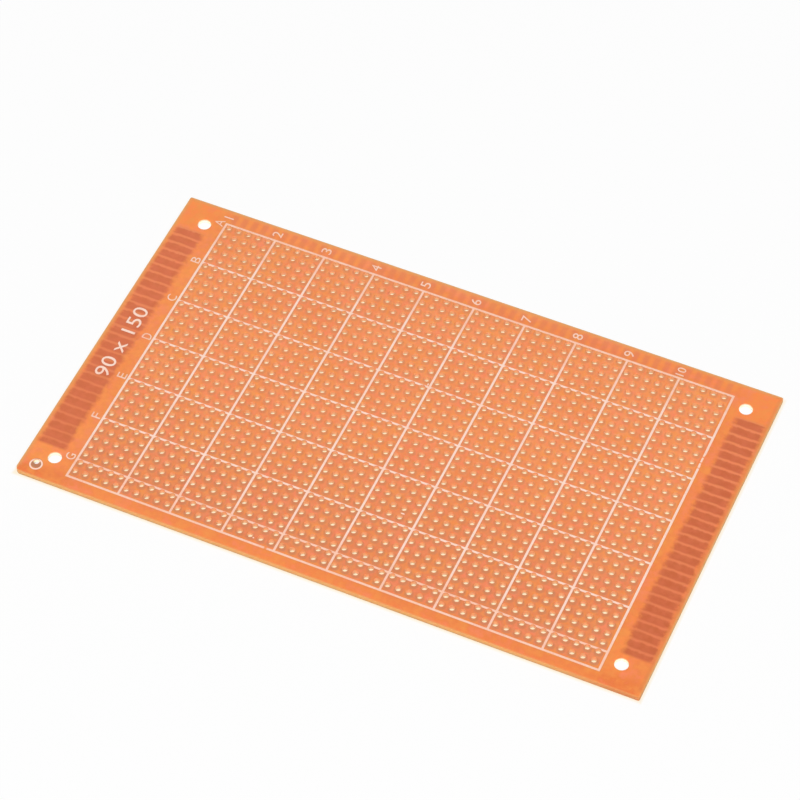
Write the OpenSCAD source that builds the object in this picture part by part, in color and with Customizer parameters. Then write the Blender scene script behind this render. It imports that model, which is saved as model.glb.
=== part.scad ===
// Single-sided prototype board: a punched phenolic laminate with copper pads below and white print above.
// The origin is under the middle of the board. +X runs along the numbered edge, +Y points to that edge,
// and +Z points to the printed side.

/* [Laminate] */
// Length of the board, along the numbered edge
board_l = 149.4; // [130:0.1:170]
// Width of the board
board_w = 89; // [75:0.1:110]
// Thickness of the laminate
board_t = 1.2; // [0.8:0.1:2.4]
// Radius of the three sharp corners
corner_r = 0.4; // [0.1:0.1:2]
// Radius of the rubbed corner, at the left of the near edge
rubbed_corner_r = 1.3; // [0.2:0.1:2]

/* [Hole grid] */
// Distance from hole to hole, both ways
pitch = 2.54; // [2.4:0.01:3]
// Diameter of the lead holes, as punched
hole_d = 1.4; // [0.8:0.05:1.6]
// Holes along each side of a printed cell
cell_holes = 5; // [2:1:8]
// Least width kept free of cells at each short end
end_zone = 11; // [10:0.1:16]
// Least width kept free of holes at each long side
side_zone = 3.8; // [3:0.1:8]

/* [Mounting holes] */
// Diameter of the four corner holes
mount_hole_d = 3.2; // [2.2:0.1:3.6]
// From a short end to the middle of a corner hole
mount_inset_x = 6.7; // [5:0.1:8.5]
// From a long side to the middle of a corner hole
mount_inset_y = 6.5; // [5:0.1:7]

/* [Copper] */
// Thickness of the copper foil
foil_t = 0.035; // [0.018:0.001:0.105]
// Diameter of a solder pad
pad_d = 2; // [1.8:0.05:2.3]
// Width of the plating tails between the far row of pads and the far edge
tail_w = 0.25; // [0.1:0.05:1.2]
// From the end of a plating tail to the far edge
tail_inset = 0.5; // [0.2:0.1:1.5]
// Length of an end finger
finger_l = 6.9; // [3:0.1:7.4]
// Width of an end finger
finger_w = 1.85; // [0.8:0.05:2.1]
// From an end finger to the short end
finger_inset = 0.9; // [0.3:0.1:2]
// Hole rows without a finger at each long side
finger_skip = 2; // [1:1:6]

/* [Print] */
// Thickness of the ink
ink_t = 0.02; // [0.01:0.005:0.06]
// Width of the frame and of the cell lines
line_w = 0.52; // [0.2:0.02:0.8]
// How far the print lies off the hole grid along the length
print_shift_x = 0.24; // [-0.4:0.02:0.4]
// How far the print lies off the hole grid across the width
print_shift_y = -0.76; // [-0.8:0.02:0.8]
// How much nearer the far edge the first line across the length lies than the others
first_line_rise = 0.36; // [0:0.02:0.6]
// How much nearer the right end the last line across the width lies than the others
last_line_gain = 0.42; // [0:0.02:0.6]

/* [Target] */
// From the left end to the middle of the target hole
target_inset_x = 3.5; // [3:0.1:4]
// From the near side to the middle of the target hole
target_inset_y = 3.9; // [3.4:0.1:4.2]
// Diameter of the copper pad round the target hole
target_pad_d = 2.6; // [2:0.1:3]
// Outer diameter of the printed ring
ring_d = 3.05; // [2.6:0.05:3.3]
// Width of the printed ring's line
ring_w = 0.37; // [0.2:0.01:0.5]

/* [Hidden] */
$fn = 32;
// Past an edge that a cut has to clear
over = 1;
// The laminate stands on the foil, and the ink on the laminate
laminate_z = foil_t;
ink_z = laminate_z + board_t;
// Whole cells fit along the length, and whole rows of holes across the width
cells = floor((board_l - 2 * end_zone) / (cell_holes * pitch));
cols = cells * cell_holes;
rows = floor((board_w - 2 * side_zone) / pitch);
far_rows = ceil(rows / 2);
left_cols = ceil(cols / 2);
// Middles of the printed lines: every cell's edge, and the near side of the last row
line_cols = [for (k = [0:cells]) k * cell_holes];
line_rows = [for (j = [0:cell_holes:rows - 1]) j, rows];
line_xs = [for (i = line_cols) print_shift_x + (i - cols / 2) * pitch + (i == cols ? last_line_gain : 0)];
line_ys = [for (j = line_rows) print_shift_y + (rows / 2 - j) * pitch + (j == 0 ? first_line_rise : 0)];
// Middles of the target hole and of the ring printed round it
target_x = target_inset_x - board_l / 2;
target_y = target_inset_y - board_w / 2;

function col_x(i) = (i - (cols - 1) / 2) * pitch;
function row_y(j) = ((rows - 1) / 2 - j) * pitch;

// True where a lead hole reaches a printed line
function meets_print(x, y) =
    min([for (lx = line_xs) abs(x - lx)]) < (hole_d + line_w) / 2 ||
    min([for (ly = line_ys) abs(y - ly)]) < (hole_d + line_w) / 2;

// Discs at the lead holes of the named columns and rows
module grid_discs(d, first_col, last_col, first_row, last_row) {
    for (i = [first_col:last_col], j = [first_row:last_row])
        translate([col_x(i), row_y(j)]) circle(d = d);
}

// What rounds off the corner on the side of the signs sx and sy
module corner_trim(sx, sy, r) {
    difference() {
        translate([sx * (board_l + over - r) / 2, sy * (board_w + over - r) / 2])
            square(r + over, center = true);
        translate([sx * (board_l / 2 - r), sy * (board_w / 2 - r)]) circle(r);
    }
}

module mounting_holes() {
    for (sx = [-1, 1], sy = [-1, 1])
        translate([sx * (board_l / 2 - mount_inset_x), sy * (board_w / 2 - mount_inset_y)])
            circle(d = mount_hole_d);
}

module laminate() {
    color([0.96, 0.56, 0.33]) translate([0, 0, laminate_z]) linear_extrude(board_t) difference() {
        square([board_l, board_w], center = true);
        for (sx = [-1, 1], sy = [-1, 1])
            corner_trim(sx, sy, sx < 0 && sy < 0 ? rubbed_corner_r : corner_r);
        mounting_holes();
        translate([target_x, target_y]) circle(d = hole_d);
        grid_discs(hole_d, 0, cols - 1, 0, rows - 1);
    }
}

// Thin traces that join the far row of pads to the plating bar, sheared off at the edge
module plating_tails(first_col, last_col) {
    tail_end = board_w / 2 - tail_inset;
    for (i = [first_col:last_col]) translate([col_x(i) - tail_w / 2, row_y(0)])
        square([tail_w, tail_end - row_y(0)]);
}

module solder_pads(first_col, last_col, first_row, last_row) {
    color([0.83, 0.47, 0.28]) linear_extrude(foil_t) difference() {
        union() {
            grid_discs(pad_d, first_col, last_col, first_row, last_row);
            if (first_row == 0) plating_tails(first_col, last_col);
        }
        grid_discs(hole_d, first_col, last_col, first_row, last_row);
    }
}

module solder_pads_far_left() { solder_pads(0, left_cols - 1, 0, far_rows - 1); }
module solder_pads_far_right() { solder_pads(left_cols, cols - 1, 0, far_rows - 1); }
module solder_pads_near_left() { solder_pads(0, left_cols - 1, far_rows, rows - 1); }
module solder_pads_near_right() { solder_pads(left_cols, cols - 1, far_rows, rows - 1); }

// One contact finger beside each hole row but the outer ones, at the end on the side of the sign
module end_fingers(side) {
    finger_x = board_l / 2 - finger_inset - finger_l / 2;
    color([0.83, 0.47, 0.28]) linear_extrude(foil_t)
        for (j = [finger_skip:rows - 1 - finger_skip])
            translate([side * finger_x, row_y(j)]) square([finger_l, finger_w], center = true);
}

module end_fingers_left() { end_fingers(-1); }
module end_fingers_right() { end_fingers(1); }

module target_pad() {
    color([0.83, 0.47, 0.28]) linear_extrude(foil_t) translate([target_x, target_y]) difference() {
        circle(d = target_pad_d);
        circle(d = hole_d);
    }
}

// The frame and its cell lines, broken where a lead hole was punched through them
module print_grid() {
    left = line_xs[0];
    right = line_xs[cells];
    far = line_ys[0];
    near = line_ys[len(line_ys) - 1];
    color([1, 0.84, 0.78]) translate([0, 0, ink_z]) linear_extrude(ink_t) difference() {
        union() {
            for (x = line_xs) translate([x - line_w / 2, near - line_w / 2]) square([line_w, far - near + line_w]);
            for (y = line_ys) translate([left - line_w / 2, y - line_w / 2]) square([right - left + line_w, line_w]);
        }
        for (i = [0:cols - 1], j = [0:rows - 1])
            if (meets_print(col_x(i), row_y(j))) translate([col_x(i), row_y(j)]) circle(d = hole_d);
    }
}

// The ring shares the print's offset, so its target hole isn't in its middle
module print_target() {
    color([1, 0.84, 0.78]) translate([0, 0, ink_z]) linear_extrude(ink_t) difference() {
        translate([target_x + print_shift_x, target_y + print_shift_y]) difference() {
            circle(d = ring_d);
            circle(d = ring_d - 2 * ring_w);
        }
        translate([target_x, target_y]) circle(d = hole_d);
    }
}

laminate();
solder_pads_far_left();
solder_pads_far_right();
solder_pads_near_left();
solder_pads_near_right();
end_fingers_left();
end_fingers_right();
target_pad();
print_grid();
print_target();
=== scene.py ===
"""Looks of a punched prototype board: phenolic sheet, copper, screen print, lettering and a studio stage.

Lengths in the settings are millimetres. Meshes are in metres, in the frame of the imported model.
"""

import math

import bmesh
import bpy
from bpy.props import FloatProperty, FloatVectorProperty, IntProperty, PointerProperty, StringProperty
from mathutils import Matrix, Vector


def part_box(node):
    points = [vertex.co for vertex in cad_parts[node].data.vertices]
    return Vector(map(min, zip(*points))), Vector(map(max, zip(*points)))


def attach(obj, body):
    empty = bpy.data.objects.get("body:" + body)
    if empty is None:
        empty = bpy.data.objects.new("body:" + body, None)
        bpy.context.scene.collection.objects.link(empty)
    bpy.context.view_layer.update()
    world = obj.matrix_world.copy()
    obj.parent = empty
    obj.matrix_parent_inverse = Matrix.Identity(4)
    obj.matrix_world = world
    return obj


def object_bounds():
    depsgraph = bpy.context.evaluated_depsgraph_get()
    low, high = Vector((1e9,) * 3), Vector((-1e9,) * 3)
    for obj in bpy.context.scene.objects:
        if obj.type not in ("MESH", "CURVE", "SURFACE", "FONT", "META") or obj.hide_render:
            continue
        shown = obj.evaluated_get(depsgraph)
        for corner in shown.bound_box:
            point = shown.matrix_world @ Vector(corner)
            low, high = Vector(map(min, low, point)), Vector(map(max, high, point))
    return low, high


bl_info = {
    "name": "Prototype Board",
    "version": (1, 0, 0),
    "blender": (4, 5, 0),
    "location": "View3D > Sidebar > Board",
    "description": "Finishes, lettering and studio stage of a punched prototype board",
    "category": "Add Mesh",
}

MM = 0.001
BODY = "root"
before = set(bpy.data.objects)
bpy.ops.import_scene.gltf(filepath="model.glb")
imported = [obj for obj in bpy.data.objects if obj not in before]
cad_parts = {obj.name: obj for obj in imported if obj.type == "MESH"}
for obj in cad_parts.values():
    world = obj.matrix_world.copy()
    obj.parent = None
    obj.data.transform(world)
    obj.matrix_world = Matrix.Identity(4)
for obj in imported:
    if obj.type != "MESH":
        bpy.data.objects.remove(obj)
CAD_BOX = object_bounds()
SHEET_LOW, SHEET_HIGH = (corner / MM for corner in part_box("laminate"))
HALF_L, HALF_W = SHEET_HIGH.x, SHEET_HIGH.y
FINGER_LOW, FINGER_HIGH = (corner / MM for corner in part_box("end_fingers_right"))
FRAME_LOW, FRAME_HIGH = (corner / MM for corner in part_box("print_grid"))
TARGET_LOW, TARGET_HIGH = (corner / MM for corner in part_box("target_pad"))
PAD_NODES = [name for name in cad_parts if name.startswith("solder_pads")]
PADS_LEFT = min(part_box(name)[0].x for name in PAD_NODES) / MM
PADS_NEAR = min(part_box(name)[0].y for name in PAD_NODES) / MM
COPPER_NODES = [*PAD_NODES, "end_fingers_left", "end_fingers_right", "target_pad"]

# Holes along each side of a printed cell
CELL_HOLES = 5
# Each row letter and its width, in millimetres like all below
LETTER_WIDTHS = {"A": 1.9, "B": 1.7, "C": 1.8, "D": 1.6, "E": 1.45, "F": 1.45, "G": 1.75}
# Where the grid's ink did not take: middle x and y, half the length along x, half the width along y
PRINT_FLAWS = (
    (-14.4, -41.4, 0.3, 0.5), (-13.5, 14.5, 0.5, 0.5), (64.2, 17.9, 0.6, 0.12), (64.2, 19.5, 0.6, 0.15),
    (64.2, 21.2, 0.6, 0.15), (64.5, 20.3, 0.2, 1.6))
# Stray ink: middle x and y, length along x, width along y
INK_SPECKS = ((-0.4, 15.2, 0.35, 0.7), (-18.0, -39.9, 0.4, 0.35), (9.2, -20.55, 1.0, 0.4))

# Of each finish, the size of its slow and of its fine variation of tone
CLOUDS = {"resin": (15.0, 1.3), "tints": (4.5, 1.7), "copper": (6.0, 0.5), "ink": (3.0, 0.35)}
# Of each finish, the width of its grain, how many times longer it is, the strength of its bump and its depth
GRAINS = {"resin": (0.25, 2.5, 0.35, 0.02), "copper": (0.08, 8.0, 0.3, 0.01), "ink": (0.12, 1.0, 0.4, 0.01)}

# How near to a face of the sheet still counts as that face
SKIN = 0.01
# Walls this near to the outline are its sheared edge
EDGE_DEPTH = 1.4
# Walls farther from the middle than this belong to the corner holes and the target hole
WIDE_HOLES_SIDE = (HALF_L - PADS_LEFT) / 2 - 3.0
# Soft steps of the finish: each starts at the first place and is full at the second
FAR_SHEEN_Y = (HALF_W - 2.9, HALF_W - 1.1)
FAR_SHEEN_SIDE = (HALF_L - 10.7, 20.0)
NEAR_SHADE_Y = (5.5 - HALF_W, 1.5 - HALF_W)
NEAR_CORNERS_SIDE = (HALF_L - 18.7, HALF_L - 3.7)
FAR_CORNERS_Y = (HALF_W - 11.5, HALF_W - 5.5)
FAR_CORNERS_SIDE = (HALF_L - 11.2, HALF_L - 5.7)
NEAR_ROWS_Y = (10.0, 6.5 - HALF_W)
NEAR_PADS_Y = (5.0, 9.5 - HALF_W)
TAIL_WIDTH = (1.1, 0.3)
TAIL_STARTS_Y = (-PADS_NEAR, 0.6 - PADS_NEAR)
TAIL_ENDS_Y = (HALF_W - 0.3, HALF_W - 1.3)
OUTER_TAILS_SIDE = (0.4 - PADS_LEFT, -0.4 - PADS_LEFT)
FINGER_GAP = (0.66, 1.22)
EDGE_STRIP = (1.3, 0.5)
BEYOND_NEAR_SIDE_Y = (1.0 - HALF_W, 2.0 - HALF_W)
RIGHT_STRIP_X = HALF_L - 1.5
WIDE_WALL_LIT_Z = (SHEET_HIGH.z - 0.05, SHEET_HIGH.z - 0.55)
CUT_FOOT_Z = (SHEET_LOW.z + 0.45, SHEET_LOW.z + 0.15)
NEAR_RIGHT_CUT_X = (HALF_L - 22.7, HALF_L - 2.7)
NEAR_RIGHT_CUT_Y = (4.5 - HALF_W, 0.5 - HALF_W)
OUTER_LINES = (30.0, 35.0)


def paint(red, green, blue):
    """A colour on the screen's 0 to 255 scale, as the linear levels that shaders work in."""

    def linear(level):
        part = level / 255
        return part / 12.92 if part <= 0.04045 else ((part + 0.055) / 1.055) ** 2.4

    return linear(red), linear(green), linear(blue)


def colour_setting(name, description, red, green, blue):
    return FloatVectorProperty(
        name=name, description=description, subtype="COLOR", size=3, min=0, max=1,
        default=paint(red, green, blue))


def length_setting(name, description, default, low=0.0, high=1000.0):
    return FloatProperty(name=name, description=description, default=default, min=low, max=high, precision=3)


def angle_setting(name, description, degrees):
    return FloatProperty(name=name, description=description, subtype="ANGLE", default=math.radians(degrees))


def count_setting(name, description, default):
    return IntProperty(name=name, description=description, default=default, min=1)


class SheetSettings(bpy.types.PropertyGroup):
    """Size of the hole grid and colours of the phenolic sheet."""

    hole_columns: count_setting("Hole columns", "Lead holes along the length", 50)
    hole_rows: count_setting("Hole rows", "Lead holes across the width", 32)
    pad_d: length_setting("Pad", "Diameter of the solder pad under a hole, mm", 2.0)
    # The left and right resins differ as painted shade: the sheet darkens towards the right end
    left_resin: colour_setting("Left resin", "Sheet colour at the left end", 255, 154, 76)
    right_resin: colour_setting("Right resin", "Sheet colour at the right end", 249, 144, 66)
    dark_resin: colour_setting("Dark resin", "Darker clouds in the sheet", 228, 124, 66)
    pink_resin: colour_setting("Pink resin", "Patches where the sheet is pinker", 248, 140, 98)
    yellow_resin: colour_setting("Yellow resin", "Patches where the sheet is yellower", 244, 154, 70)
    # Painted shade darkens the sheet along the near side, most at its corners
    near_shade_resin: colour_setting("Near shade resin", "Painted shade along the near side, most at its corners", 225, 104, 30)
    far_corner_resin: colour_setting("Far corner resin", "Bright corners of the far side", 255, 142, 66)
    # A painted sheen makes the strip along the far edge paler
    far_sheen_resin: colour_setting("Far sheen resin", "Painted sheen, paler along the far edge", 248, 166, 96)
    # Between the holes the sheet darkens towards the near rows as painted shade
    punched_far: colour_setting("Punched resin, far rows", "Sheet between the holes; near rows darker as painted shade", 247, 156, 93)
    punched_near: colour_setting("Punched resin, near rows", "Sheet between the holes; near rows darker as painted shade", 229, 140, 88)
    pad_far: colour_setting("Pad shade, far rows", "Where a far solder pad shows through", 216, 138, 88)
    pad_near: colour_setting("Pad shade, near rows", "Where a near solder pad shows through", 203, 130, 86)
    tail_shade: colour_setting("Tail shade", "Where a plating tail shows through", 226, 122, 84)
    finger_far: colour_setting("Finger shade, far", "Where a far end finger shows through", 212, 106, 60)
    finger_near: colour_setting("Finger shade, near", "Where a near end finger shows through", 200, 94, 44)
    gap_far: colour_setting("Gap shade, far", "Sheet between the far end fingers", 233, 137, 84)
    gap_near: colour_setting("Gap shade, near", "Sheet between the near end fingers", 221, 122, 70)
    target_shade: colour_setting("Target shade", "Where the target pad shows through", 178, 120, 88)
    shade_x: length_setting("Shade along", "From the copper to its shade, along the board, mm", 0.2, low=-2)
    shade_y: length_setting("Shade across", "The same across the board, mm", -0.42, low=-2)
    edge_resin: colour_setting("Edge resin", "Sheet beside its far and left edges", 230, 158, 86)
    right_edge_resin: colour_setting("Right edge resin", "Sheet beside its right edge", 218, 136, 70)
    rim: colour_setting("Rim", "Worn line where the top meets the sheared edge", 226, 162, 98)
    rim_w: length_setting("Rim width", "Width of that line, mm", 0.5)
    cut_resin: colour_setting("Cut resin", "Sheared faces of the sheet", 226, 164, 98)
    near_right_cut: colour_setting("Near right cut", "Sheared face, darker towards the near right corner", 204, 106, 52)
    cut_foot: colour_setting("Cut foot", "Lower line of the sheared edge", 196, 142, 86)
    # Hole wall colours are the cut resin's paler tone with painted light, brighter towards the exit
    wall_mouth: colour_setting("Wall at mouth", "Hole wall next to the print", 243, 174, 123)
    wall_exit: colour_setting("Wall at exit", "Hole wall next to the copper", 255, 201, 152)
    wall_glow: colour_setting("Wall glow", "Light that comes through the sheet to a hole's wall", 57, 30, 17)
    wide_wall: colour_setting("Wide wall", "Wall of a corner hole, bright from the paper", 255, 244, 224)
    wide_glow: colour_setting("Wide glow", "Light from the paper on a corner hole's wall", 100, 92, 74)


class CopperSettings(bpy.types.PropertyGroup):
    """Colours of the copper foil under its clear lacquer."""

    bright: colour_setting("Bright copper", "Clean foil", 226, 150, 112)
    tarnished: colour_setting("Tarnished copper", "Foil darkened by air and handling", 178, 104, 72)


class PrintSettings(bpy.types.PropertyGroup):
    """Sizes and colours of the screen print."""

    ink: colour_setting("Ink", "Full layer of ink", 255, 222, 205)
    thin_ink: colour_setting("Thin ink", "Ink through which the sheet shows", 250, 182, 148)
    bare_sheet: colour_setting("Bare sheet", "Sheet where the ink did not take", 246, 148, 88)
    line_w: length_setting("Line", "Width of a printed line, mm", 0.52)
    number_h: length_setting("Number height", "Height of a column number, mm", 2.4)
    number_w: length_setting("Number width", "Width of a column number, mm", 1.6)
    pair_h: length_setting("Pair height", "Height of a column number of two figures, mm", 2.04)
    pair_w: length_setting("Pair width", "Width of a column number of two figures, mm", 2.32)
    number_y: length_setting("Number place", "Middle of the column numbers across the board, mm", 42.2)
    number_shift: length_setting("Number shift", "From a line to the middle of its number, mm", -0.3, low=-5)
    letter_h: length_setting("Letter height", "Height of a row letter, mm", 2.2)
    letter_x: length_setting("Letter place", "Middle of the letters along the board, mm", -64.95, low=-100)
    letter_lead: length_setting("Letter lead", "From a line to the middle of its letter, mm", 0.1, low=-5)
    size_text: StringProperty(name="Size mark", description="Plain size in millimetres", default="90 x 150")
    size_h: length_setting("Size mark height", "Height of the size mark's figures, mm", 3.5)
    size_l: length_setting("Size mark length", "Length of the size mark, mm", 21.8)
    size_x: length_setting("Size mark place", "Middle of the size mark along the board, mm", -69.6, low=-100)
    size_y: length_setting("Size mark middle", "Middle of the size mark across the board, mm", -1.9, low=-100)


class StageSettings(bpy.types.PropertyGroup):
    """Where the camera stands, how much light there is, and the paper."""

    aim_x: length_setting("Aim along", "Point that the camera looks at, along the board, mm", -4.37, low=-500)
    aim_y: length_setting("Aim across", "The same across the board, mm", 8.48, low=-500)
    distance: length_setting("Distance", "From that point to the camera, mm", 773.6, high=5000)
    azimuth: angle_setting("Azimuth", "Camera's turn round the board, from the near side", 23.789)
    elevation: angle_setting("Elevation", "Camera's height above the board", 51.435)
    roll: angle_setting("Roll", "Camera's turn about its own line of sight", 0.265)
    lens: FloatProperty(name="Lens", description="Focal length, mm", default=153.89, min=1)
    sky_light: FloatProperty(name="Sky light", description="Strength of the even light", default=0.42, min=0)
    lamp_power: FloatProperty(name="Lamp power", description="Power of the lamp, watts", default=65.0, min=0)
    lamp_azimuth: angle_setting("Lamp azimuth", "Lamp's turn round the board, from the near side", 20)
    lamp_elevation: angle_setting("Lamp elevation", "Lamp's height above the board", 52)
    lamp_distance: length_setting("Lamp distance", "From the board's middle to the lamp, mm", 3000, high=5000)
    lamp_size: length_setting("Lamp size", "Diameter of the lamp's diffuser, mm", 900, high=5000)
    paper_size: length_setting("Paper size", "Side of the square of paper, mm", 6000, high=20000)
    paper_gap: length_setting("Paper gap", "From the paper up to the board, mm", 0.01)
    paper: colour_setting("Paper", "White of the paper where a lamp lights it", 246, 246, 246)
    under_board: colour_setting("Under the board", "Paper lit by light through the sheet", 255, 234, 192)
    fringe: colour_setting("Fringe", "Paper right beside the edge, lit through it", 255, 241, 214)
    fringe_w: length_setting("Fringe width", "How far that light reaches on the paper, mm", 0.9)
    floor_glow: FloatProperty(name="Floor glow", description="Share of the floor's white that needs no lamp",
                              default=0.85, min=0, max=1, subtype="FACTOR")


class NodeTree:
    """Adds nodes to one shader tree. Each call gives back the socket to pass on."""

    def __init__(self, tree):
        self.tree = tree

    def node(self, kind, inputs=None, **settings):
        node = self.tree.nodes.new(kind)
        for name, value in settings.items():
            setattr(node, name, value)
        for name, value in (inputs or {}).items():
            self.feed(node.inputs[name], value)
        return node

    def feed(self, socket, value):
        if isinstance(value, bpy.types.NodeSocket):
            self.tree.links.new(value, socket)
        elif socket.type == "RGBA" and len(value) == 3:
            socket.default_value = (*value, 1)
        else:
            socket.default_value = value

    def maths(self, operation, *values, clamp=False):
        node = self.node("ShaderNodeMath", operation=operation, use_clamp=clamp)
        for socket, value in zip(node.inputs, values):
            self.feed(socket, value)
        return node.outputs[0]

    def scaled(self, value, share, base=0.0, clamp=False):
        """value times share, plus base."""
        return self.maths("MULTIPLY_ADD", value, share, base, clamp=clamp)

    def ramp(self, value, start, end, low=0.0, high=1.0):
        """A soft step of value from low at start to high at end."""
        node = self.node("ShaderNodeMapRange", interpolation_type="SMOOTHSTEP")
        for name, level in (("Value", value), ("From Min", start), ("From Max", end), ("To Min", low),
                            ("To Max", high)):
            self.feed(node.inputs[name], level)
        return node.outputs["Result"]

    def band(self, value, middle, half_width, softness):
        """1 where value lies within half_width of middle, with soft borders."""
        offset = self.maths("ABSOLUTE", self.maths("SUBTRACT", value, middle))
        return self.ramp(offset, half_width + softness, half_width - softness)

    def all_of(self, first, *others):
        for other in others:
            first = self.maths("MULTIPLY", first, other)
        return first

    def mix(self, share, first, second):
        node = self.node("ShaderNodeMix", data_type="RGBA", clamp_factor=True)
        colours = [socket for socket in node.inputs if socket.type == "RGBA"]
        self.feed(node.inputs["Factor"], share)
        self.feed(colours[0], first)
        self.feed(colours[1], second)
        return next(socket for socket in node.outputs if socket.type == "RGBA")

    def noise(self, place, scale, detail=2.0, roughness=0.5):
        node = self.node("ShaderNodeTexNoise", {"Vector": place, "Scale": scale, "Detail": detail,
                                                "Roughness": roughness})
        return node.outputs["Fac"]

    def millimetres(self):
        """Object coordinates in millimetres, and their three parts."""
        place = self.node("ShaderNodeTexCoord").outputs["Object"]
        scaled = self.node("ShaderNodeVectorMath", {"Vector": place, "Scale": 1 / MM}, operation="SCALE")
        place = scaled.outputs["Vector"]
        parts = self.node("ShaderNodeSeparateXYZ", {"Vector": place})
        return place, *(parts.outputs[axis] for axis in "XYZ")

    def group_outputs(self, group, inputs):
        node = self.tree.nodes.new("ShaderNodeGroup")
        node.node_tree = group
        for name, value in inputs.items():
            self.feed(node.inputs[name], value)
        return node.outputs


def new_group(name, inputs, outputs):
    """An empty node group with the named sockets, and its input and output nodes."""
    group = bpy.data.node_groups.new(name, "ShaderNodeTree")
    kinds = {"value": "NodeSocketFloat", "vector": "NodeSocketVector", "colour": "NodeSocketColor"}
    for label, kind, default in inputs:
        socket = group.interface.new_socket(label, in_out="INPUT", socket_type=kinds[kind])
        if default is not None:
            socket.default_value = default
    for label, kind in outputs:
        group.interface.new_socket(label, in_out="OUTPUT", socket_type=kinds[kind])
    nodes = NodeTree(group)
    return group, nodes, nodes.node("NodeGroupInput").outputs, nodes.node("NodeGroupOutput").inputs


def clouds_group():
    """Slow and fine variation of tone, each from -1 to 1, for anything cast, plated or printed."""
    group, nodes, given, made = new_group(
        "clouds", [("Place", "vector", None), ("Patch", "value", 8.0), ("Speck", "value", 0.8)],
        [("Slow", "value"), ("Fine", "value")])
    for label, size in (("Slow", "Patch"), ("Fine", "Speck")):
        scale = nodes.maths("DIVIDE", 1.0, given[size])
        level = nodes.noise(given["Place"], scale, detail=3.0, roughness=0.6)
        nodes.feed(made[label], nodes.ramp(level, 0.3, 0.7, -1.0, 1.0))
    return group


def grain_group():
    """Fine height for a Bump node: paper fibres under resin, rolled foil or the mesh of a screen."""
    group, nodes, given, made = new_group(
        "grain", [("Place", "vector", None), ("Size", "value", 0.2), ("Lengthening", "value", 1.0)],
        [("Height", "value")])
    scale = nodes.maths("DIVIDE", 1.0, given["Size"])
    along = nodes.maths("DIVIDE", scale, given["Lengthening"])
    factors = nodes.node("ShaderNodeCombineXYZ", {"X": along, "Y": scale, "Z": scale}).outputs["Vector"]
    place = nodes.node("ShaderNodeVectorMath", {0: given["Place"], 1: factors}, operation="MULTIPLY")
    nodes.feed(made["Height"], nodes.noise(place.outputs["Vector"], 1.0, detail=3.0, roughness=0.65))
    return group


def hole_grid_group(sheet, pitch):
    """Place relative to the nearest lead hole: its distance, and the way along and across the board."""
    group, nodes, given, made = new_group(
        "hole_grid", [("Place", "vector", None)],
        [("Distance", "value"), ("Along", "value"), ("Across", "value"), ("In grid", "value")])
    parts = nodes.node("ShaderNodeSeparateXYZ", {"Vector": given["Place"]}).outputs
    inside, offsets = [], []
    for axis, count in (("X", sheet.hole_columns), ("Y", sheet.hole_rows)):
        start = pitch / 2 * (count % 2)
        moved = nodes.maths("ADD", parts[axis], start)
        offsets.append(nodes.maths("SUBTRACT", nodes.maths("WRAP", moved, pitch, 0.0), pitch / 2))
        inside.append(nodes.maths("LESS_THAN", nodes.maths("ABSOLUTE", parts[axis]), count * pitch / 2))
    squares = [nodes.maths("MULTIPLY", offset, offset) for offset in offsets]
    nodes.feed(made["Distance"], nodes.maths("SQRT", nodes.maths("ADD", *squares)))
    nodes.feed(made["Along"], offsets[0])
    nodes.feed(made["Across"], offsets[1])
    nodes.feed(made["In grid"], nodes.all_of(*inside))
    return group


def new_material(name):
    material = bpy.data.materials.new(name)
    material.use_nodes = True
    material.node_tree.nodes.clear()
    nodes = NodeTree(material.node_tree)
    shader = nodes.node("ShaderNodeBsdfPrincipled")
    output = nodes.node("ShaderNodeOutputMaterial")
    nodes.feed(output.inputs["Surface"], shader.outputs["BSDF"])
    return material, nodes, shader.inputs


def finish_clouds(nodes, groups, finish, place):
    patch, speck = CLOUDS[finish]
    return nodes.group_outputs(groups["clouds"], {"Place": place, "Patch": patch, "Speck": speck})


def add_grain(nodes, groups, finish, place, shader):
    """Bump of a finish's own grain."""
    width, lengthening, strength, depth = GRAINS[finish]
    grain = nodes.group_outputs(groups["grain"], {"Place": place, "Size": width, "Lengthening": lengthening})
    bump = nodes.node("ShaderNodeBump", {"Strength": strength, "Distance": depth * MM,
                                         "Height": grain["Height"]})
    nodes.feed(shader["Normal"], bump.outputs["Normal"])


def hole_pitch(sheet):
    return 2 * (-PADS_LEFT - sheet.pad_d / 2) / (sheet.hole_columns - 1)


def shared_groups(context):
    """The node groups that several finishes use, built once."""
    sheet = context.scene.board_sheet
    makers = {"clouds": clouds_group, "grain": grain_group,
              "hole_grid": lambda: hole_grid_group(sheet, hole_pitch(sheet))}
    return {name: bpy.data.node_groups.get(name) or make() for name, make in makers.items()}


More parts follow.
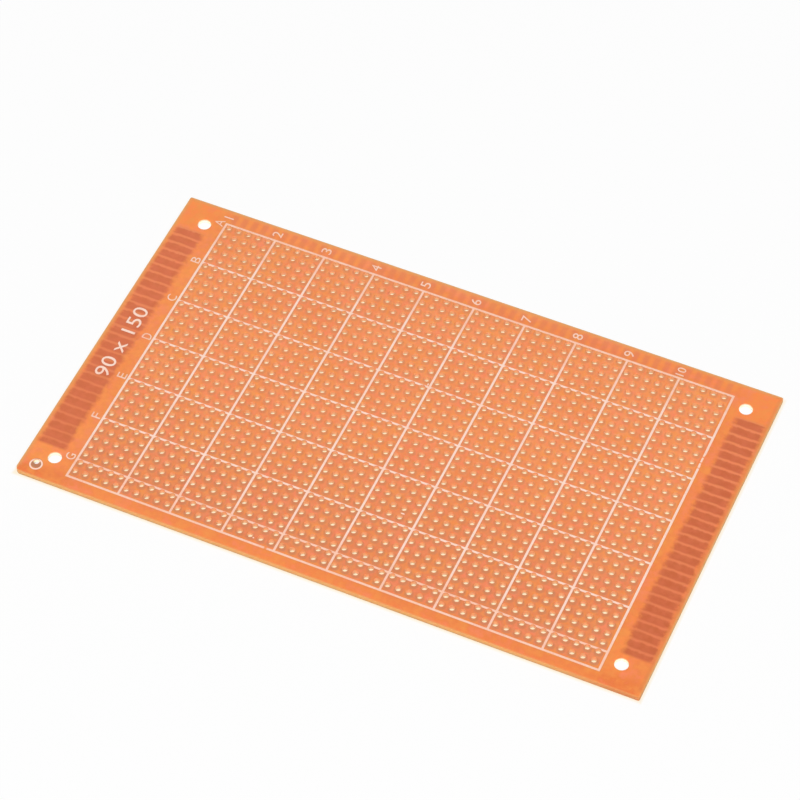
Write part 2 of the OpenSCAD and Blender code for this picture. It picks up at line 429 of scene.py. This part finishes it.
def resin_colour(nodes, sheet, parts, clouds, tints, between_holes):
    """Clouded resin with painted sheen along the far edge, painted shade to the right and near side, and its
    own tone between the holes.
    """
    x, y, side = parts
    # Painted shade: the sheet darkens from the left end to the right end
    colour = nodes.mix(nodes.ramp(x, -HALF_L, HALF_L), sheet.left_resin, sheet.right_resin)
    # Painted sheen: a paler strip along the far edge
    far_sheen = nodes.all_of(nodes.ramp(y, *FAR_SHEEN_Y), nodes.ramp(side, *FAR_SHEEN_SIDE), 0.55)
    colour = nodes.mix(far_sheen, colour, sheet.far_sheen_resin)
    # Painted shade: the sheet darkens along the near side, most at its corners
    near_shade = nodes.all_of(nodes.ramp(y, *NEAR_SHADE_Y), nodes.ramp(side, *NEAR_CORNERS_SIDE, 0.2, 0.65))
    colour = nodes.mix(near_shade, colour, sheet.near_shade_resin)
    # Painted shade: between the holes the sheet darkens towards the near rows
    nearness = nodes.ramp(nodes.scaled(x, -0.12, y), *NEAR_ROWS_Y)
    punched = nodes.mix(nearness, sheet.punched_far, sheet.punched_near)
    colour = nodes.mix(between_holes, colour, punched)
    dark = nodes.maths("ADD", nodes.scaled(clouds["Slow"], 0.17, 0.17),
                       nodes.scaled(clouds["Fine"], 0.13, 0.13))
    colour = nodes.mix(dark, colour, sheet.dark_resin)
    far_corners = nodes.all_of(nodes.ramp(y, *FAR_CORNERS_Y), nodes.ramp(side, *FAR_CORNERS_SIDE), 0.85)
    colour = nodes.mix(far_corners, colour, sheet.far_corner_resin)

    # Soft pink and yellow patches, a few millimetres wide
    pink = nodes.scaled(tints["Slow"], 0.42, nodes.scaled(tints["Fine"], 0.34))
    colour = nodes.mix(nodes.maths("MAXIMUM", pink, 0.0), colour, sheet.pink_resin)
    return nodes.mix(nodes.maths("MULTIPLY", pink, -1.0, clamp=True), colour, sheet.yellow_resin)


def copper_shade(nodes, sheet, groups, place, parts, on_top, wobble, colour):
    """The pads, the plating tails, the end fingers and the target pad, as they show through the sheet."""
    x, y, side = parts
    seen_place = nodes.node("ShaderNodeVectorMath", {0: place, 1: (-sheet.shade_x, -sheet.shade_y, 0)},
                            operation="ADD").outputs["Vector"]
    below = nodes.group_outputs(groups["hole_grid"], {"Place": seen_place})
    pads = nodes.all_of(nodes.ramp(below["Distance"], sheet.pad_d / 2 + 0.3, sheet.pad_d / 2 - 0.3),
                        below["In grid"], on_top, 0.7)
    pad = nodes.mix(nodes.ramp(y, *NEAR_PADS_Y), sheet.pad_far, sheet.pad_near)
    colour = nodes.mix(pads, colour, pad)
    tails = nodes.all_of(nodes.ramp(nodes.maths("ABSOLUTE", below["Along"]), *TAIL_WIDTH),
                         nodes.ramp(y, *TAIL_STARTS_Y), nodes.ramp(y, *TAIL_ENDS_Y),
                         nodes.ramp(side, *OUTER_TAILS_SIDE), on_top, 0.45)
    colour = nodes.mix(tails, colour, sheet.tail_shade)

    # Each finger is darker towards the near right, and its borders are a little wavy
    finger_middle = (FINGER_LOW.x + FINGER_HIGH.x) / 2
    finger_half = (FINGER_HIGH.x - FINGER_LOW.x) / 2
    bars = nodes.band(nodes.scaled(wobble, 0.35, side), finger_middle, finger_half, 0.8)
    rows = nodes.band(y, 0.0, FINGER_HIGH.y, 0.5)
    across = nodes.maths("ABSOLUTE", nodes.scaled(wobble, 0.12, below["Across"]))
    lean = 0.6
    span = lean * FINGER_HIGH.x + FINGER_HIGH.y
    nearness = nodes.ramp(nodes.maths("SUBTRACT", nodes.scaled(x, lean), y), -span, span)
    gap = nodes.mix(nodes.ramp(y, FINGER_HIGH.y, FINGER_LOW.y), sheet.gap_far, sheet.gap_near)
    bar = nodes.mix(nearness, sheet.finger_far, sheet.finger_near)
    finger = nodes.mix(nodes.ramp(across, *FINGER_GAP), bar, gap)
    finger = nodes.mix(nodes.scaled(wobble, 0.08, 0.08), finger, sheet.pink_resin)
    colour = nodes.mix(nodes.all_of(bars, rows, on_top, 0.95), colour, finger)

    middle = (TARGET_LOW + TARGET_HIGH) / 2
    offset = nodes.node("ShaderNodeVectorMath", {0: seen_place, 1: (middle.x, middle.y, SHEET_HIGH.z)},
                        operation="DISTANCE").outputs["Value"]
    radius = (TARGET_HIGH.x - TARGET_LOW.x) / 2
    target = nodes.all_of(nodes.ramp(offset, radius + 0.2, radius - 0.2), on_top, 0.85)
    return nodes.mix(target, colour, sheet.target_shade)


def worn_border(nodes, sheet, parts, inwards, on_top, colour):
    """The strip beside the outer edge, and a worn line that is plainest at the far and left sides."""
    x, y, _ = parts
    strip = nodes.all_of(nodes.ramp(inwards, *EDGE_STRIP), nodes.ramp(y, *BEYOND_NEAR_SIDE_Y), on_top, 0.5)
    at_right = nodes.maths("GREATER_THAN", x, RIGHT_STRIP_X)
    colour = nodes.mix(strip, colour, nodes.mix(at_right, sheet.edge_resin, sheet.right_edge_resin))
    far_or_left = nodes.maths("MAXIMUM", nodes.maths("GREATER_THAN", y, HALF_W - sheet.rim_w),
                              nodes.maths("LESS_THAN", x, sheet.rim_w - HALF_L))
    rim = nodes.maths("MULTIPLY", nodes.ramp(inwards, sheet.rim_w, sheet.rim_w * 0.3),
                      nodes.ramp(far_or_left, 0.0, 1.0, 0.6, 1.0))
    return nodes.mix(rim, colour, sheet.rim)


def sheet_material(context):
    """Phenolic paper sheet: clouded resin, copper showing through, hole walls pale with painted light, and
    sheared edges.
    """
    sheet = context.scene.board_sheet
    groups = shared_groups(context)
    material, nodes, shader = new_material("phenolic_sheet")
    place, x, y, z = nodes.millimetres()
    side = nodes.maths("ABSOLUTE", x)
    parts = (x, y, side)
    on_top = nodes.maths("GREATER_THAN", z, SHEET_HIGH.z - SKIN)
    in_wall = nodes.all_of(nodes.maths("LESS_THAN", z, SHEET_HIGH.z - SKIN),
                           nodes.maths("GREATER_THAN", z, SHEET_LOW.z + SKIN))
    inwards = nodes.maths("MINIMUM", nodes.maths("SUBTRACT", HALF_L, side),
                          nodes.maths("SUBTRACT", HALF_W, nodes.maths("ABSOLUTE", y)))
    holes = nodes.group_outputs(groups["hole_grid"], {"Place": place})
    clouds = finish_clouds(nodes, groups, "resin", place)
    tints = finish_clouds(nodes, groups, "tints", place)
    colour = resin_colour(nodes, sheet, parts, clouds, tints, nodes.all_of(holes["In grid"], on_top))
    colour = copper_shade(nodes, sheet, groups, place, parts, on_top, tints["Fine"], colour)
    colour = worn_border(nodes, sheet, parts, inwards, on_top, colour)

    # Walls of the punched holes, the wider corner and target holes, and the sheared outer edge
    # Painted light: hole walls are the paler cut resin, brightened towards the exit and near white at the
    # corner holes
    wall = nodes.mix(nodes.ramp(z, SHEET_HIGH.z, SHEET_LOW.z), sheet.wall_mouth, sheet.wall_exit)
    wide = nodes.all_of(nodes.maths("GREATER_THAN", side, WIDE_HOLES_SIDE), in_wall,
                        nodes.ramp(z, *WIDE_WALL_LIT_Z))
    colour = nodes.mix(in_wall, colour, nodes.mix(wide, wall, sheet.wide_wall))
    at_edge = nodes.all_of(nodes.maths("LESS_THAN", inwards, EDGE_DEPTH), in_wall)
    cut = nodes.mix(nodes.ramp(z, *CUT_FOOT_Z), sheet.cut_resin, sheet.cut_foot)
    # The sheared face darkens towards the near right corner
    near_right_corner = nodes.all_of(nodes.ramp(x, *NEAR_RIGHT_CUT_X), nodes.ramp(y, *NEAR_RIGHT_CUT_Y), 0.6)
    colour = nodes.mix(at_edge, colour, nodes.mix(near_right_corner, cut, sheet.near_right_cut))

    nodes.feed(shader["Base Color"], colour)
    # Painted glow: light through the sheet on the hole walls and from the paper on the corner holes' walls
    glow = nodes.mix(in_wall, (0, 0, 0), sheet.wall_glow)
    glow = nodes.mix(wide, glow, sheet.wide_glow)
    nodes.feed(shader["Emission Color"], nodes.mix(at_edge, glow, (0, 0, 0)))
    shader["Emission Strength"].default_value = 1.0
    shader["Subsurface Weight"].default_value = 0.7
    shader["Subsurface Radius"].default_value = (1.0, 0.6, 0.35)
    shader["Subsurface Scale"].default_value = 1.0 * MM
    roughness = nodes.scaled(clouds["Fine"], 0.04, 0.42)
    nodes.feed(shader["Roughness"], nodes.scaled(in_wall, 0.25, roughness))
    add_grain(nodes, groups, "resin", place, shader)
    return material


def copper_material(context):
    """Copper foil under a thin clear lacquer, a little tarnished."""
    copper = context.scene.board_copper
    groups = shared_groups(context)
    material, nodes, shader = new_material("copper_foil")
    place = nodes.millimetres()[0]
    clouds = finish_clouds(nodes, groups, "copper", place)
    worn = nodes.scaled(clouds["Slow"], 0.3, 0.4)
    worn = nodes.scaled(clouds["Fine"], 0.15, worn, clamp=True)
    nodes.feed(shader["Base Color"], nodes.mix(worn, copper.bright, copper.tarnished))
    shader["Metallic"].default_value = 1.0
    nodes.feed(shader["Roughness"], nodes.scaled(worn, 0.15, 0.3))
    shader["Coat Weight"].default_value = 0.4
    shader["Coat Roughness"].default_value = 0.25
    add_grain(nodes, groups, "copper", place, shader)
    return material


def ink_material(context, name="screen_ink", cover=0.85, outer_loss=0.0, flaws=()):
    """Screen-printed ink that covers the sheet to that share, thinner in places and at the outer lines.

    Each flaw is a place where the ink did not take: its middle and half its length and width, in millimetres.
    """
    ink = context.scene.board_print
    groups = shared_groups(context)
    material, nodes, shader = new_material(name)
    place, x, y, _ = nodes.millimetres()
    clouds = finish_clouds(nodes, groups, "ink", place)
    from_middle = nodes.maths("ABSOLUTE", nodes.maths("SUBTRACT", y, (FRAME_LOW.y + FRAME_HIGH.y) / 2))
    thin = nodes.ramp(from_middle, *OUTER_LINES, 1 - cover, 1 - cover + outer_loss)
    thin = nodes.scaled(clouds["Slow"], 0.14, thin)
    thin = nodes.scaled(clouds["Fine"], 0.14, thin, clamp=True)
    colour = nodes.mix(thin, ink.ink, ink.thin_ink)
    border = 0.12
    for flaw_x, flaw_y, half_length, half_width in flaws:
        missing = nodes.all_of(nodes.band(x, flaw_x, half_length, border),
                               nodes.band(y, flaw_y, half_width, border))
        colour = nodes.mix(missing, colour, ink.bare_sheet)
    nodes.feed(shader["Base Color"], colour)
    nodes.feed(shader["Roughness"], nodes.scaled(clouds["Fine"], 0.05, 0.6))
    add_grain(nodes, groups, "ink", place, shader)
    return material


def dress(node_name, material):
    """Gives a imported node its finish."""
    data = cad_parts[node_name].data
    data.materials.clear()
    data.materials.append(material)


def add_piece(name, shape, material):
    """Turns the bmesh into a piece that rides on the board."""
    bmesh.ops.recalc_face_normals(shape, faces=shape.faces)
    mesh = bpy.data.meshes.new(name)
    shape.to_mesh(mesh)
    shape.free()
    mesh.materials.append(material)
    piece = bpy.data.objects.new(name, mesh)
    bpy.context.scene.collection.objects.link(piece)
    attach(piece, BODY)


def glyph_shape(text, thickness):
    """Text as a bmesh in the XY plane, one layer of ink thick."""
    font = bpy.data.curves.new("glyph", "FONT")
    font.body = text
    font.extrude = thickness / 2
    font.resolution_u = 4
    holder = bpy.data.objects.new("glyph", font)
    bpy.context.scene.collection.objects.link(holder)
    evaluated = holder.evaluated_get(bpy.context.evaluated_depsgraph_get())
    mesh = bpy.data.meshes.new_from_object(evaluated)
    shape = bmesh.new()
    shape.from_mesh(mesh)
    bmesh.ops.remove_doubles(shape, verts=shape.verts, dist=1e-5)
    bpy.data.meshes.remove(mesh)
    bpy.data.objects.remove(holder)
    bpy.data.curves.remove(font)
    return shape


def shape_box(shape):
    corners = [vertex.co for vertex in shape.verts]
    low = Vector([min(corner[axis] for corner in corners) for axis in range(3)])
    high = Vector([max(corner[axis] for corner in corners) for axis in range(3)])
    return low, high


def lay_text(target, text, middle, height, width=None):
    """Adds text to target: its up side towards -X, its middle at that place on the sheet, all in millimetres.

    Without a width, it keeps the proportions of the font.
    """
    thickness = FRAME_HIGH.z - FRAME_LOW.z
    shape = glyph_shape(text, thickness)
    low, high = shape_box(shape)
    size = high - low
    centring = Matrix.Translation(-(low + high) / 2)
    upright = height / size.y
    fitting = Matrix.Diagonal((width / size.x if width else upright, upright, thickness / size.z, 1))
    turning = Matrix.Rotation(math.radians(90), 4, "Z")
    placing = Matrix.Translation((*middle, FRAME_LOW.z + thickness / 2))
    shape.transform(Matrix.Scale(MM, 4) @ placing @ turning @ fitting @ centring)
    mesh = bpy.data.meshes.new("glyph")
    shape.to_mesh(mesh)
    shape.free()
    target.from_mesh(mesh)
    bpy.data.meshes.remove(mesh)


def lay_speck(target, middle, length, width):
    """Adds a stray speck of ink to target, in millimetres."""
    disc = bmesh.ops.create_circle(target, cap_ends=True, segments=10, radius=0.5)
    thickness = FRAME_HIGH.z - FRAME_LOW.z
    solid = bmesh.ops.extrude_face_region(target, geom=disc["verts"][0].link_faces[:])
    raised = [item for item in solid["geom"] if isinstance(item, bmesh.types.BMVert)]
    bmesh.ops.translate(target, verts=raised, vec=(0, 0, 1))
    placing = Matrix.Translation((*middle, FRAME_LOW.z)) @ Matrix.Diagonal((length, width, thickness, 1))
    bmesh.ops.transform(target, matrix=Matrix.Scale(MM, 4) @ placing, verts=[*disc["verts"], *raised])


class BOARD_OT_finish_sheet(bpy.types.Operator):
    """Give the phenolic sheet its finish"""

    bl_idname = "board.finish_sheet"
    bl_label = "Finish sheet"

    def execute(self, context):
        dress("laminate", sheet_material(context))
        return {"FINISHED"}


class BOARD_OT_finish_copper(bpy.types.Operator):
    """Give the pads, the end fingers and the target pad their finish"""

    bl_idname = "board.finish_copper"
    bl_label = "Finish copper"

    def execute(self, context):
        material = copper_material(context)
        for name in COPPER_NODES:
            dress(name, material)
        return {"FINISHED"}


class BOARD_OT_finish_print(bpy.types.Operator):
    """Give the printed grid and the printed ring their finish"""

    bl_idname = "board.finish_print"
    bl_label = "Finish print"

    def execute(self, context):
        dress("print_grid", ink_material(context, outer_loss=0.4, flaws=PRINT_FLAWS))
        dress("print_target", ink_material(context, "ring_ink", 0.95))
        specks = bmesh.new()
        for *middle, length, width in INK_SPECKS:
            lay_speck(specks, middle, length, width)
        add_piece("ink_specks", specks, ink_material(context, "speck_ink"))
        return {"FINISHED"}


class BOARD_OT_letter_board(bpy.types.Operator):
    """Print the column numbers, the row letters and the size mark"""

    bl_idname = "board.letter_board"
    bl_label = "Letter board"

    def execute(self, context):
        ink = context.scene.board_print
        sheet = context.scene.board_sheet
        material = ink_material(context, "lettering_ink", 0.6)
        pitch = hole_pitch(sheet)
        cell = CELL_HOLES * pitch
        first_line = FRAME_LOW.x + ink.line_w / 2
        numbers = bmesh.new()
        for column in range(sheet.hole_columns // CELL_HOLES):
            middle = (first_line + column * cell + ink.number_shift, ink.number_y)
            number = str(column + 1)
            height, width = (ink.pair_h, ink.pair_w) if len(number) > 1 else (ink.number_h, ink.number_w)
            lay_text(numbers, number, middle, height, None if number == "1" else width)
        add_piece("column_numbers", numbers, material)
        letters = bmesh.new()
        last_line = FRAME_LOW.y + ink.line_w / 2 + sheet.hole_rows % CELL_HOLES * pitch
        for row, (letter, width) in enumerate(LETTER_WIDTHS.items()):
            middle_y = last_line + (len(LETTER_WIDTHS) - 1 - row) * cell + ink.letter_lead
            lay_text(letters, letter, (ink.letter_x, middle_y), ink.letter_h, width)
        add_piece("row_letters", letters, material)
        mark = bmesh.new()
        lay_text(mark, ink.size_text, (ink.size_x, ink.size_y), ink.size_h, ink.size_l)
        add_piece("size_mark", mark, ink_material(context, "size_mark_ink", 0.9))
        return {"FINISHED"}


def away(azimuth, elevation):
    """Direction from the board to something that far round it from the near side, and that high above it."""
    return Vector((math.sin(azimuth) * math.cos(elevation), -math.cos(azimuth) * math.cos(elevation),
                   math.sin(elevation)))


def floor_material(stage):
    """White paper that shows as white whatever the lamps do, and still takes part of the board's shadow."""
    material = bpy.data.materials.new("white_paper")
    material.use_nodes = True
    material.node_tree.nodes.clear()
    nodes = NodeTree(material.node_tree)
    diffuse = nodes.node("ShaderNodeBsdfDiffuse", {"Color": stage.paper})
    _, x, y, _ = nodes.millimetres()
    border = 2.0
    covered = nodes.all_of(nodes.band(x, 0.0, FRAME_HIGH.x, border), nodes.band(y, 0.0, -FRAME_LOW.y, border))
    tint = nodes.mix(covered, (1, 1, 1), stage.under_board)
    outwards = nodes.maths("MAXIMUM", nodes.maths("SUBTRACT", nodes.maths("ABSOLUTE", x), HALF_L),
                           nodes.maths("SUBTRACT", nodes.maths("ABSOLUTE", y), HALF_W))
    beside = nodes.all_of(nodes.ramp(outwards, stage.fringe_w, 0.0), nodes.ramp(outwards, -1.0, -0.2))
    tint = nodes.mix(beside, tint, stage.fringe)
    glow = nodes.node("ShaderNodeEmission", {"Color": tint, "Strength": 1.0})
    rays = nodes.node("ShaderNodeLightPath").outputs
    seen = nodes.maths("MAXIMUM", rays["Is Camera Ray"],
                       nodes.maths("MAXIMUM", rays["Is Glossy Ray"], rays["Is Transmission Ray"]))
    share = nodes.maths("MULTIPLY", seen, stage.floor_glow)
    mixed = nodes.node("ShaderNodeMixShader", {"Fac": share, 1: diffuse.outputs["BSDF"], 2: glow.outputs[0]})
    output = nodes.node("ShaderNodeOutputMaterial")
    nodes.feed(output.inputs["Surface"], mixed.outputs[0])
    return material


class BOARD_OT_build_stage(bpy.types.Operator):
    """Lay the paper, hang the lamp, light the room and set up the camera"""

    bl_idname = "board.build_stage"
    bl_label = "Build stage"

    def execute(self, context):
        stage = context.scene.board_stage
        scene = context.scene
        floor_z = CAD_BOX[0].z - stage.paper_gap * MM
        paper = bmesh.new()
        bmesh.ops.create_grid(paper, x_segments=1, y_segments=1, size=stage.paper_size / 2 * MM)
        paper.transform(Matrix.Translation((0, 0, floor_z)))
        mesh = bpy.data.meshes.new("paper")
        paper.to_mesh(mesh)
        paper.free()
        mesh.materials.append(floor_material(stage))
        floor = bpy.data.objects.new("paper", mesh)
        scene.collection.objects.link(floor)

        world = bpy.data.worlds.new("room")
        world.use_nodes = True
        world.node_tree.nodes.clear()
        nodes = NodeTree(world.node_tree)
        rays = nodes.node("ShaderNodeLightPath").outputs
        seen = nodes.maths("MAXIMUM", rays["Is Camera Ray"], rays["Is Glossy Ray"])
        strength = nodes.ramp(seen, 0.0, 1.0, stage.sky_light, 1.0)
        sky = nodes.node("ShaderNodeBackground", {"Color": (1, 1, 1), "Strength": strength})
        output = nodes.node("ShaderNodeOutputWorld")
        nodes.feed(output.inputs["Surface"], sky.outputs[0])
        scene.world = world

        lamp = bpy.data.lights.new("soft_lamp", "AREA")
        lamp.shape = "DISK"
        lamp.size = stage.lamp_size * MM
        lamp.energy = stage.lamp_power
        holder = bpy.data.objects.new("soft_lamp", lamp)
        holder.location = away(stage.lamp_azimuth, stage.lamp_elevation) * stage.lamp_distance * MM
        holder.rotation_mode = "QUATERNION"
        holder.rotation_quaternion = (-holder.location).to_track_quat("-Z", "Y")
        scene.collection.objects.link(holder)

        camera = bpy.data.cameras.new("camera")
        camera.lens = stage.lens
        camera.sensor_width = 36.0
        camera.clip_start, camera.clip_end = 0.05, 20.0
        holder = bpy.data.objects.new("camera", camera)
        back = away(stage.azimuth, stage.elevation)
        aim = Vector((stage.aim_x, stage.aim_y, SHEET_HIGH.z)) * MM
        holder.location = aim + back * stage.distance * MM
        holder.rotation_mode = "QUATERNION"
        turned = (-back).to_track_quat("-Z", "Y").to_matrix() @ Matrix.Rotation(stage.roll, 3, "Z")
        holder.rotation_quaternion = turned.to_quaternion()
        scene.collection.objects.link(holder)
        scene.camera = holder
        scene.view_settings.view_transform = "Standard"
        return {"FINISHED"}


class BOARD_PT_panel(bpy.types.Panel):
    """Steps that dress the board"""

    bl_label = "Prototype Board"
    bl_idname = "BOARD_PT_panel"
    bl_space_type = "VIEW_3D"
    bl_region_type = "UI"
    bl_category = "Board"

    def draw(self, context):
        for operator in OPERATORS:
            self.layout.operator(operator.bl_idname)


SETTINGS = {"board_sheet": SheetSettings, "board_copper": CopperSettings, "board_print": PrintSettings,
            "board_stage": StageSettings}
OPERATORS = (BOARD_OT_finish_sheet, BOARD_OT_finish_copper, BOARD_OT_finish_print, BOARD_OT_letter_board,
             BOARD_OT_build_stage)


def register():
    for item in (*SETTINGS.values(), *OPERATORS, BOARD_PT_panel):
        bpy.utils.register_class(item)
    for name, group in SETTINGS.items():
        setattr(bpy.types.Scene, name, PointerProperty(type=group))


def unregister():
    for name in SETTINGS:
        delattr(bpy.types.Scene, name)
    for item in (BOARD_PT_panel, *reversed(OPERATORS), *reversed(list(SETTINGS.values()))):
        bpy.utils.unregister_class(item)


def main():
    register()
    bpy.ops.board.build_stage()
    bpy.ops.board.finish_sheet()
    bpy.ops.board.finish_copper()
    bpy.ops.board.finish_print()
    bpy.ops.board.letter_board()


if __name__ == "__main__":
    main()
